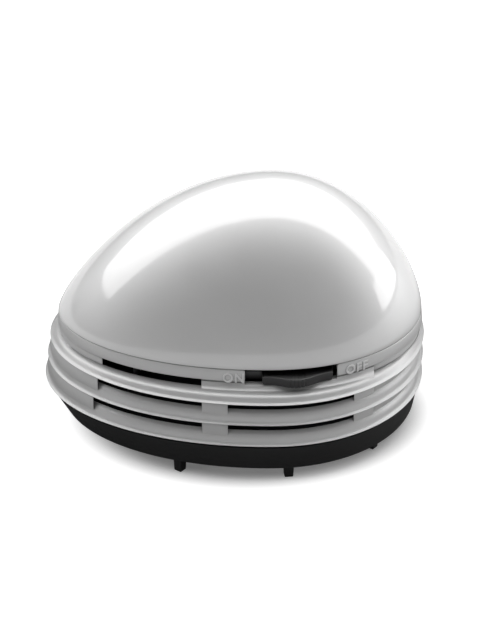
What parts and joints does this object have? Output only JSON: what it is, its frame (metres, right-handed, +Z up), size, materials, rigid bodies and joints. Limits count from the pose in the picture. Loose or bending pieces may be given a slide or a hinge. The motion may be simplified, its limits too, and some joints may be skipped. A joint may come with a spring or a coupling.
{
  "type": "desktop mini vacuum cleaner",
  "caption": "Egg-shaped table sweeper: domed cover over a louvred skirt with a side slide switch, on a dark dust tray with short feet.",
  "frame": {"origin": "middle of the overall length and width, at table height under the feet", "axes": "+Z up, the narrow nose points along -X, the blunt tail along +X, the slide switch is on the -Y side"},
  "size_m": [0.118, 0.092, 0.081],
  "materials": {
    "black_shell": "fine satin moulding",
    "black_inner": "satin moulding",
    "black_knob": "satin moulding",
    "bristle": "nylon tufts on a strip",
    "white_shell": "fine satin moulding",
    "white_dome": "polished moulding",
    "grey_inner": "satin moulding",
    "filter_cloth": "non-woven cloth",
    "screw_steel": "plated",
    "contact_steel": "nickel plated",
    "contact_brass": "tinned",
    "fan_plastic": "translucent white moulding",
    "motor_steel": "drawn can",
    "motor_plastic": "white nylon",
    "cell_wrap": "printed-free wrap",
    "red_wire": "wire insulation",
    "black_wire": "wire insulation"
  },
  "bodies": {
    "tray": {"dust_tray": "black_shell", "base_feet": "black_shell", "front_brush": "bristle", "rear_brush": "bristle"},
    "housing": {"vent_housing": "white_shell", "fan_baffle": "black_inner", "filter_frame": "grey_inner", "filter_screen": "filter_cloth", "deck_plate": "black_inner", "chassis_screws": "screw_steel", "motor_can": "motor_steel", "motor_end_cap": "motor_plastic", "motor_terminals": "contact_brass", "battery_cradle": "grey_inner", "near_cell": "cell_wrap", "far_cell": "cell_wrap", "nose_contact": "contact_steel", "plus_contact": "contact_steel", "minus_contact": "contact_steel", "switch_body": "motor_steel", "motor_switch_lead": "red_wire", "switch_cell_lead": "red_wire", "motor_cell_lead": "black_wire"},
    "fan": {"motor_shaft": "screw_steel", "fan_impeller": "fan_plastic"},
    "switch": {"switch_knob": "black_knob", "switch_stem": "motor_plastic"},
    "cover": {"dome_cover": "white_dome"}
  },
  "joints": [
    {"name": "housing_lift", "type": "slide", "parent": "tray", "child": "housing", "axis": [0, 0, 1], "range_m": [0, 0.045]},
    {"name": "cover_lift", "type": "slide", "parent": "housing", "child": "cover", "axis": [0, 0, 1], "range_m": [0, 0.06]},
    {"name": "switch_slide", "type": "slide", "parent": "housing", "child": "switch", "axis": [-1, 0, 0], "range_m": [0, 0.005]},
    {"name": "fan_spin", "type": "hinge", "parent": "housing", "child": "fan", "pos_m": [0.0117, 0, 0.03], "axis": [0, 0, 1], "continuous": true}
  ]
}
